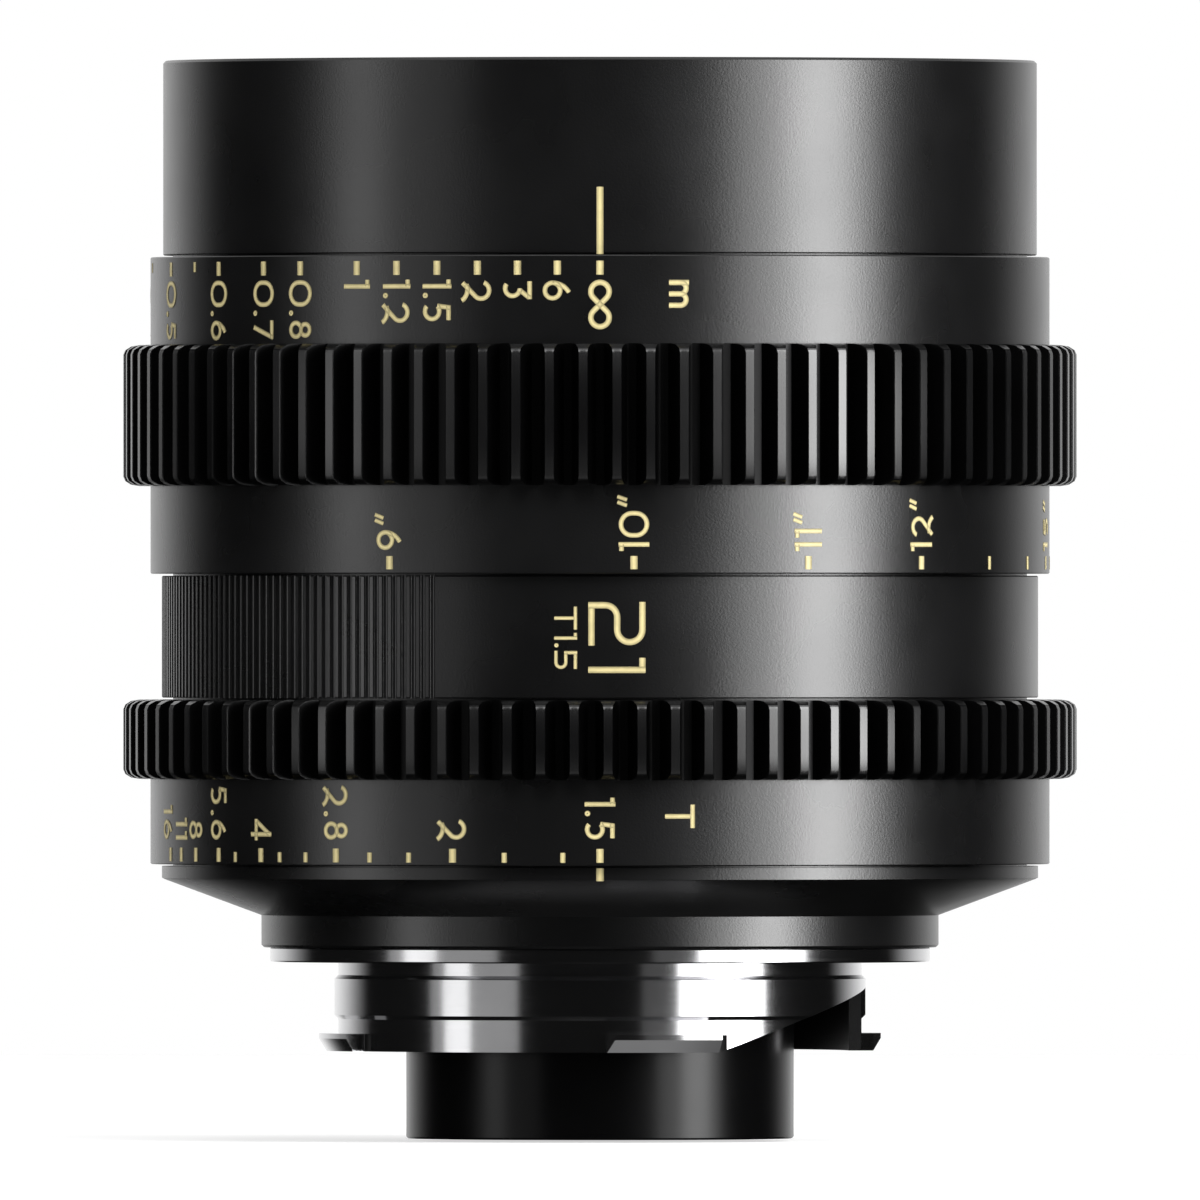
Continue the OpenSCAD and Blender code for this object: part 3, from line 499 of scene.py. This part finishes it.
def engrave_stroke(bm, start, heading, runs, width, relief, unit):
    """Sweeps the section along lines and arcs, whose sizes are in units of a numeral's height."""
    at = Vector((start[0] * unit, start[1] * unit, 0.0))
    heading = math.radians(heading)
    edges = engraved_section(bm, at, heading, width, relief)
    first = list(edges)
    closed = len(runs) == 1 and runs[0][0] == "a" and abs(runs[0][2]) == 360
    for run in runs:
        verts = list({v for e in edges for v in e.verts})
        ahead = Vector((math.cos(heading), math.sin(heading), 0.0))
        if run[0] == "l":
            length = run[1] * unit
            steps = max(1, math.ceil(length / LINE_STEP))
            made = bmesh.ops.spin(bm, geom=verts + edges, cent=at, axis=(0, 0, 1), angle=0.0,
                                  dvec=ahead * (length / steps), steps=steps)
            at = at + ahead * length
        else:
            turn = math.radians(run[2])
            side = Vector((-ahead.y, ahead.x, 0.0)) * math.copysign(run[1] * unit, turn)
            steps = max(4, math.ceil(abs(run[2]) / ARC_STEP))
            made = bmesh.ops.spin(bm, geom=verts + edges, cent=at + side, axis=(0, 0, 1),
                                  angle=turn, steps=steps, use_merge=closed)
            at = at + side + Matrix.Rotation(turn, 3, "Z") @ (-side)
            heading += turn
        edges = [g for g in made["geom_last"] if isinstance(g, bmesh.types.BMEdge)]
    if not closed:
        bmesh.ops.contextual_create(bm, geom=first)
        bmesh.ops.contextual_create(bm, geom=edges)


def words_width(words):
    """Width of a row of numerals, in units of their height."""
    return sum(GLYPHS[w][0] + GLYPH_GAP for w in words) - GLYPH_GAP


def engrave_words(bm, words, unit, width, relief, glyphs, gap):
    """Numerals in a row from the origin, one after the other, flat in the XY plane."""
    x = 0.0
    for word in words:
        advance, strokes = glyphs[word]
        for sx, sy, heading, runs, *thin in strokes:
            wide = width * (thin[0] if thin else 1.0)
            engrave_stroke(bm, (x + sx, sy), heading, runs, wide, relief, unit)
        x += advance + gap


def wrap(verts, radius, angle, height, reading):
    """Bends flat marks round a barrel. Angle is to the right of the front index, in degrees.
    reading is "down", "up" or "level": where the row of numerals runs."""
    for v in verts:
        u, w, h = v.co
        if reading == "down":
            along, rise = w, -u
        elif reading == "up":
            along, rise = -w, u
        else:
            along, rise = u, w
        a = math.radians(angle) + along / radius
        v.co = ((radius + h) * math.sin(a), -(radius + h) * math.cos(a), height + rise)


class Engraver:
    """Collects the marks of one ring or barrel in one mesh."""

    def __init__(self, scales, radius):
        self.bm = bmesh.new()
        self.bm.verts.layers.float.new("across")
        self.scales = scales
        self.radius = radius

    def _wrap_new(self, count, angle, height, reading):
        """Bends the marks that were made after the first count vertices."""
        self.bm.verts.ensure_lookup_table()
        wrap(self.bm.verts[count:], self.radius, angle, height, reading)

    def tick(self, angle, low, high, width=None):
        """An upright mark between two heights."""
        count = len(self.bm.verts)
        wide = width or self.scales.tick
        line = [("l", high - low)]
        engrave_stroke(self.bm, (0.0, 0.0), 90, line, wide, self.scales.relief, 1.0)
        self._wrap_new(count, angle, low, "level")

    def words(self, words, angle, height, reading, unit=None, stroke=None, glyphs=GLYPHS,
              gap=GLYPH_GAP):
        """Numerals centred on an angle that begin at a height and run up or down from it."""
        count = len(self.bm.verts)
        unit = unit or self.scales.numeral
        engrave_words(self.bm, words, unit, stroke or self.scales.stroke, self.scales.relief,
                      glyphs, gap)
        self.bm.verts.ensure_lookup_table()
        fresh = self.bm.verts[count:]
        bmesh.ops.translate(self.bm, verts=fresh, vec=(0.0, -unit / 2, 0.0))
        self._wrap_new(count, angle, height, reading)

    def distance(self, text, angle, height, reading, suffix=()):
        """A distance with its suffix, or the infinity sign in a heavier stroke."""
        if text == "infinity":
            self.words([text], angle, height, reading, stroke=INFINITY_STROKE)
        else:
            self.words([*text, *suffix], angle, height, reading)

    def finish(self, name, body, slot):
        """Closes the mesh and fills it with paint."""
        bmesh.ops.remove_doubles(self.bm, verts=self.bm.verts, dist=1e-7)
        bmesh.ops.recalc_face_normals(self.bm, faces=self.bm.faces)
        finished(self.bm, name, body, bpy.data.materials["scale_paint"])


def finished(bm, name, body, mat):
    """Makes a piece of a bmesh, dresses it and lets it ride on a body."""
    mesh = bpy.data.meshes.new(name)
    bm.to_mesh(mesh)
    bm.free()
    piece = bpy.data.objects.new(name, mesh)
    bpy.context.scene.collection.objects.link(piece)
    piece.data.materials.append(mat)
    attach(piece, body)


class LENS_OT_finishes(bpy.types.Operator):
    """Gives every solid its finish and smooth turned faces"""

    bl_idname = "lens.finishes"
    bl_label = "Finishes"

    def execute(self, context):
        finish = context.scene.lens_finish
        black = tuple(finish.black)
        looks = {
            "black_barrel": blasted_black("blasted_black_barrel", black, finish.grain,
                                          rough=0.28, strength=0.42),
            "black_ring": blasted_black("blasted_black_ring", black, finish.grain,
                                        rough=0.28, strength=0.42, gear=GEAR_FOOT),
            "matt_black": blasted_black("matt_black", scaled(black, 0.7), 0.3 * MM,
                                        rough=0.6, strength=0.4),
            "inner_aluminium": turned_metal("turned_aluminium", (0.30, 0.30, 0.31), rough=0.35),
            "brass": turned_metal("turned_brass", (0.72, 0.53, 0.22), rough=0.3),
            "steel": turned_metal("turned_steel", (0.55, 0.55, 0.57), rough=0.25),
            "chromed_bayonet": polished_chrome("polished_chrome", tuple(finish.chrome), black,
                                               BAYONET_BORE),
            "satin_black": blasted_black("satin_black", scaled(black, 0.6), 0.9 * MM,
                                         rough=0.24, strength=0.02, gloss=0.25),
            "coated_glass": coated_glass("coated_glass", (0.93, 0.97, 1.0), film=420.0),
            "blade": turned_metal("blackened_blade", (0.05, 0.05, 0.055), rough=0.45),
        }
        scale_paint("scale_paint", tuple(finish.paint))
        for part in frame["record"]["subparts"]:
            node = NODES[part["node"]]
            node.data.materials.clear()
            node.data.materials.append(looks[part["material_slot"]])
            smooth_turned(node)
        return {"FINISHED"}


def smooth_turned(node):
    """Rounds the shading of a turned solid and keeps its edges crisp."""
    closest = 0.002 * MM
    crease = math.radians(24)
    node.data.polygons.foreach_set("use_smooth", [True] * len(node.data.polygons))
    weld = node.modifiers.new("weld", "WELD")
    weld.merge_threshold = closest
    split = node.modifiers.new("edges", "EDGE_SPLIT")
    split.split_angle = crease


class LENS_OT_focus_scale(bpy.types.Operator):
    """Engraves both distance scales on the focus ring"""

    bl_idname = "lens.focus_scale"
    bl_label = "Focus scale"

    def execute(self, context):
        low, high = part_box("focus_ring")
        marks = Engraver(context.scene.lens_scales, BAND_RADIUS)
        top = high[2] - 0.45 * MM
        tick_foot = top - 1.06 * MM
        minor_foot = top - 0.75 * MM
        text_top = top - 1.42 * MM
        for text, angle in METRES:
            marks.tick(angle, tick_foot, top)
            marks.distance(text, angle, text_top, "down")
        marks.tick(NEAREST_METRE, tick_foot, top)
        for angle in METRE_TICKS:
            marks.tick(angle, minor_foot, top, MINOR_TICK)
        marks.words(["m"], 10.7, text_top, "down", stroke=METRE_STROKE)
        foot = low[2] + 0.33 * MM
        tick_top = foot + 1.0 * MM
        text_foot = foot + 1.38 * MM
        for text, angle in INCHES:
            marks.tick(angle, foot, tick_top)
            marks.distance(text, angle, text_foot, "up", suffix=["inch"])
        for angle in INCH_TICKS:
            marks.tick(angle, foot, tick_top, MINOR_TICK)
        marks.finish("focus_scale_paint", "focus", "black_ring")
        return {"FINISHED"}


class LENS_OT_iris_scale(bpy.types.Operator):
    """Engraves the stop scale on the iris ring"""

    bl_idname = "lens.iris_scale"
    bl_label = "Iris scale"

    def execute(self, context):
        scales = context.scene.lens_scales
        marks = Engraver(scales, BAND_RADIUS)
        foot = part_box("iris_ring")[0][2] + 0.25 * MM
        tick_top = foot + 1.05 * MM
        minor_top = foot + 0.75 * MM
        text_foot = foot + 1.6 * MM
        letter_top = foot + 4.4 * MM
        for text, angle, aside in STOPS:
            marks.tick(angle, foot, tick_top)
            span = words_width(text) * scales.numeral
            marks.words(text, angle - aside, text_foot + span, "down")
        for angle in STOP_TICKS:
            marks.tick(angle, foot, minor_top, MINOR_TICK)
        marks.words("T", 10.2, letter_top, "down")
        marks.finish("iris_scale_paint", "iris", "black_ring")
        return {"FINISHED"}


class LENS_OT_barrel_marks(bpy.types.Operator):
    """Engraves the index lines, the focal length and the widest stop on the barrel"""

    bl_idname = "lens.barrel_marks"
    bl_label = "Barrel marks"

    def execute(self, context):
        scales = context.scene.lens_scales
        line_near = 0.4 * MM
        line_far = 5.5 * MM
        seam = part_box("front_barrel")[0][2]
        front = Engraver(scales, ring_radius("front_barrel"))
        front.tick(0.0, seam + line_near, seam + line_far, INDEX_LINE)
        front.finish("focus_index_paint", "barrel", "black_barrel")
        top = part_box("iris_ring")[0][2] - 0.15 * MM
        rear = Engraver(scales, ring_radius("rear_cover"))
        rear.tick(0.0, top - 1.0 * MM, top - 0.02 * MM, IRIS_INDEX)
        rear.finish("iris_index_paint", "barrel", "black_barrel")
        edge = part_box("focus_ring")[0][2]
        grip = Engraver(scales, ring_radius("grip_barrel"))
        grip.words("21", 2.2, 27.45 * MM, "down", unit=4.35 * MM, stroke=0.49 * MM, glyphs=BIG,
                   gap=0.212)
        grip.words("T1.5", -4.45, 27.1 * MM, "down", unit=1.74 * MM, stroke=0.265 * MM,
                   glyphs=SMALL, gap=0.145)
        grip.tick(180.0, edge - line_far, edge - line_near, INDEX_LINE)
        grip.finish("focal_length_paint", "barrel", "black_barrel")
        return {"FINISHED"}


class LENS_OT_filter_thread(bpy.types.Operator):
    """Cuts the look of a fine thread into the front barrel's mouth"""

    bl_idname = "lens.filter_thread"
    bl_label = "Filter thread"

    def execute(self, context):
        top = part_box("front_barrel")[1][2]
        pitch = 0.75 * MM
        turns = 4
        steps_per_turn = 96
        steps = steps_per_turn * turns
        lead_in = 0.55 * MM
        ridge = ((31.02, -0.30), (30.62, -0.06), (30.62, 0.06), (31.02, 0.30))
        bm = bmesh.new()
        z = top - lead_in - pitch * turns
        verts = [bm.verts.new((r * MM, 0.0, z + h * MM)) for r, h in ridge]
        edges = [bm.edges.new((verts[i], verts[i - 1])) for i in range(len(verts))]
        first = list(edges)
        made = bmesh.ops.spin(bm, geom=verts + edges, cent=(0, 0, 0), axis=(0, 0, 1),
                              dvec=(0, 0, pitch * turns / steps),
                              angle=math.radians(360 * turns), steps=steps)
        last = [g for g in made["geom_last"] if isinstance(g, bmesh.types.BMEdge)]
        bmesh.ops.contextual_create(bm, geom=first)
        bmesh.ops.contextual_create(bm, geom=last)
        bmesh.ops.recalc_face_normals(bm, faces=bm.faces)
        finished(bm, "filter_thread", "barrel", bpy.data.materials["blasted_black_barrel"])
        return {"FINISHED"}


def falloff(tree, source, points):
    """A grey that follows a direction's component through a few points from -1 to 1."""
    place = tree.nodes.new("ShaderNodeMapRange")
    place.inputs["From Min"].default_value = -1.0
    shade = tree.nodes.new("ShaderNodeValToRGB")
    shade.color_ramp.interpolation = "EASE"
    stops = shade.color_ramp.elements
    while len(stops) < len(points):
        stops.new(0.5)
    for stop, (at, value) in zip(stops, points):
        stop.position = (at + 1.0) / 2
        stop.color = (value, value, value, 1.0)
    tree.links.new(source, place.inputs["Value"])
    tree.links.new(place.outputs["Result"], shade.inputs["Fac"])
    return shade.outputs["Color"]


def studio_world(scene):
    """White for the camera, a dim room for diffuse light, and for reflections a white backdrop
    behind the lens, a pale ceiling and a grey floor in front of it."""
    world = bpy.data.worlds.new("studio")
    scene.world = world
    world.use_nodes = True
    tree = world.node_tree
    tree.nodes.clear()
    out = tree.nodes.new("ShaderNodeOutputWorld")
    room = tree.nodes.new("ShaderNodeBackground")
    room.inputs["Color"].default_value = (1.0, 1.0, 1.0, 1.0)
    room.inputs["Strength"].default_value = 0.3
    backdrop = tree.nodes.new("ShaderNodeBackground")
    backdrop.inputs["Strength"].default_value = 1.0
    white = tree.nodes.new("ShaderNodeBackground")
    white.inputs["Color"].default_value = (1.0, 1.0, 1.0, 1.0)
    white.inputs["Strength"].default_value = 1.0
    coord = tree.nodes.new("ShaderNodeTexCoord")
    axes = tree.nodes.new("ShaderNodeSeparateXYZ")
    tree.links.new(coord.outputs["Generated"], axes.inputs["Vector"])
    behind = falloff(tree, axes.outputs["Y"], ((0.5, 0.0), (1.0, 1.0)))
    level = falloff(tree, axes.outputs["Z"], ((-0.35, 0.0), (-0.1, 1.0)))
    above = falloff(tree, axes.outputs["Z"], ((0.3, 0.006), (0.95, 0.6)))
    facing = falloff(tree, axes.outputs["Y"], ((-0.4, 1.0), (0.05, 0.0)))
    below = falloff(tree, axes.outputs["Z"], ((-0.6, 0.28), (-0.15, 0.0)))
    sky = joined(tree, "MAXIMUM", joined(tree, "MULTIPLY", behind, level), above)
    sky = joined(tree, "MAXIMUM", joined(tree, "MULTIPLY", facing, below), sky)
    tree.links.new(sky, backdrop.inputs["Color"])
    path = tree.nodes.new("ShaderNodeLightPath")
    sharp = joined(tree, "MAXIMUM", path.outputs["Is Glossy Ray"],
                   path.outputs["Is Transmission Ray"])
    mix = tree.nodes.new("ShaderNodeMixShader")
    seen = tree.nodes.new("ShaderNodeMixShader")
    tree.links.new(sharp, mix.inputs["Fac"])
    tree.links.new(room.outputs["Background"], mix.inputs[1])
    tree.links.new(backdrop.outputs["Background"], mix.inputs[2])
    tree.links.new(path.outputs["Is Camera Ray"], seen.inputs["Fac"])
    tree.links.new(mix.outputs["Shader"], seen.inputs[1])
    tree.links.new(white.outputs["Background"], seen.inputs[2])
    tree.links.new(seen.outputs["Shader"], out.inputs["Surface"])


def soft_light(name, azimuth, distance, height, aim_height, width, tall, level):
    """A soft box aimed at the axis. Azimuth is to the right of the camera, in degrees, and level
    is the brightness of its face."""
    lamp = bpy.data.lights.new(name, "AREA")
    lamp.shape = "RECTANGLE"
    lamp.size = width
    lamp.size_y = tall
    lamp.energy = level * math.pi * width * tall
    light = bpy.data.objects.new(name, lamp)
    a = math.radians(azimuth)
    place = Vector((math.sin(a) * distance, -math.cos(a) * distance, height))
    light.location = place
    aim = Vector((0.0, 0.0, aim_height)) - place
    light.rotation_euler = aim.to_track_quat("-Z", "Y").to_euler()
    light.visible_camera = False
    bpy.context.scene.collection.objects.link(light)


def pale_floor(level):
    """A pale floor that shows as white, keeps the lens's shadow and is clear from below."""
    bm = bmesh.new()
    bmesh.ops.create_grid(bm, x_segments=1, y_segments=1, size=0.8)
    bmesh.ops.translate(bm, verts=bm.verts, vec=(0.0, 0.0, level))
    mesh = bpy.data.meshes.new("floor")
    bm.to_mesh(mesh)
    bm.free()
    floor = bpy.data.objects.new("floor", mesh)
    bpy.context.scene.collection.objects.link(floor)
    mat, tree, shader = material("pale_floor")
    paper = object_noise(tree, 20 * MM, detail=3.0)
    tint = ramp(tree, paper, grey(0.80), grey(0.84))
    tree.links.new(tint.outputs["Color"], shader.inputs["Base Color"])
    shader.inputs["Roughness"].default_value = 0.9
    shader.inputs["Specular IOR Level"].default_value = 0.1
    glow = tree.nodes.new("ShaderNodeEmission")
    glow.inputs["Strength"].default_value = 0.62
    path = tree.nodes.new("ShaderNodeLightPath")
    both = tree.nodes.new("ShaderNodeAddShader")
    seen = tree.nodes.new("ShaderNodeMixShader")
    out = tree.nodes["Material Output"]
    tree.links.new(shader.outputs["BSDF"], both.inputs[0])
    tree.links.new(glow.outputs["Emission"], both.inputs[1])
    tree.links.new(path.outputs["Is Camera Ray"], seen.inputs["Fac"])
    tree.links.new(shader.outputs["BSDF"], seen.inputs[1])
    tree.links.new(both.outputs["Shader"], seen.inputs[2])
    side = tree.nodes.new("ShaderNodeNewGeometry")
    clear = tree.nodes.new("ShaderNodeBsdfTransparent")
    faced = tree.nodes.new("ShaderNodeMixShader")
    tree.links.new(side.outputs["Backfacing"], faced.inputs["Fac"])
    tree.links.new(seen.outputs["Shader"], faced.inputs[1])
    tree.links.new(clear.outputs["BSDF"], faced.inputs[2])
    tree.links.new(faced.outputs["Shader"], out.inputs["Surface"])
    floor.data.materials.append(mat)
    floor.visible_glossy = False


class LENS_OT_studio(bpy.types.Operator):
    """Sets the floor, the soft lights and the camera"""

    bl_idname = "lens.studio"
    bl_label = "Studio"

    def execute(self, context):
        scene = context.scene
        studio = scene.lens_studio
        scene.view_settings.view_transform = "Standard"
        studio_world(scene)
        pale_floor(CAD_LOW[2] - 0.2 * MM)
        for *box, setting, share in SOFT_BOXES:
            soft_light(*box, getattr(studio, setting) * share)
        lens = bpy.data.cameras.new("camera")
        lens.lens = studio.focal
        lens.sensor_width = SENSOR_MM
        distance = studio.view_width * studio.focal / SENSOR_MM
        camera = bpy.data.objects.new("camera", lens)
        camera.location = (0.0, -distance, studio.aim_height)
        camera.rotation_euler = (math.radians(90), 0.0, 0.0)
        lens.clip_start = 0.1
        lens.clip_end = 20.0
        scene.collection.objects.link(camera)
        scene.camera = camera
        return {"FINISHED"}


class LENS_PT_dressing(bpy.types.Panel):
    """Lists the sizes, the colours and the steps"""

    bl_label = "Cinema lens"
    bl_idname = "LENS_PT_dressing"
    bl_space_type = "VIEW_3D"
    bl_region_type = "UI"
    bl_category = "Lens"

    def draw(self, context):
        column = self.layout.column()
        for group in (context.scene.lens_finish, context.scene.lens_scales,
                      context.scene.lens_studio):
            for name in group.bl_rna.properties.keys():
                if name not in ("rna_type", "name"):
                    column.prop(group, name)
        for step in STEPS:
            column.operator(step.bl_idname)


STEPS = (LENS_OT_finishes, LENS_OT_focus_scale, LENS_OT_iris_scale, LENS_OT_barrel_marks,
         LENS_OT_filter_thread, LENS_OT_studio)
GROUPS = (LensFinish, LensScales, LensStudio)


def register():
    for cls in (*GROUPS, *STEPS, LENS_PT_dressing):
        bpy.utils.register_class(cls)
    bpy.types.Scene.lens_finish = PointerProperty(type=LensFinish)
    bpy.types.Scene.lens_scales = PointerProperty(type=LensScales)
    bpy.types.Scene.lens_studio = PointerProperty(type=LensStudio)


def unregister():
    del bpy.types.Scene.lens_studio
    del bpy.types.Scene.lens_scales
    del bpy.types.Scene.lens_finish
    for cls in (LENS_PT_dressing, *reversed(STEPS), *reversed(GROUPS)):
        bpy.utils.unregister_class(cls)


def main():
    """Dresses the lens."""
    register()
    bpy.ops.lens.finishes()
    bpy.ops.lens.focus_scale()
    bpy.ops.lens.iris_scale()
    bpy.ops.lens.barrel_marks()
    bpy.ops.lens.filter_thread()
    bpy.ops.lens.studio()


if __name__ == "__main__":
    main()
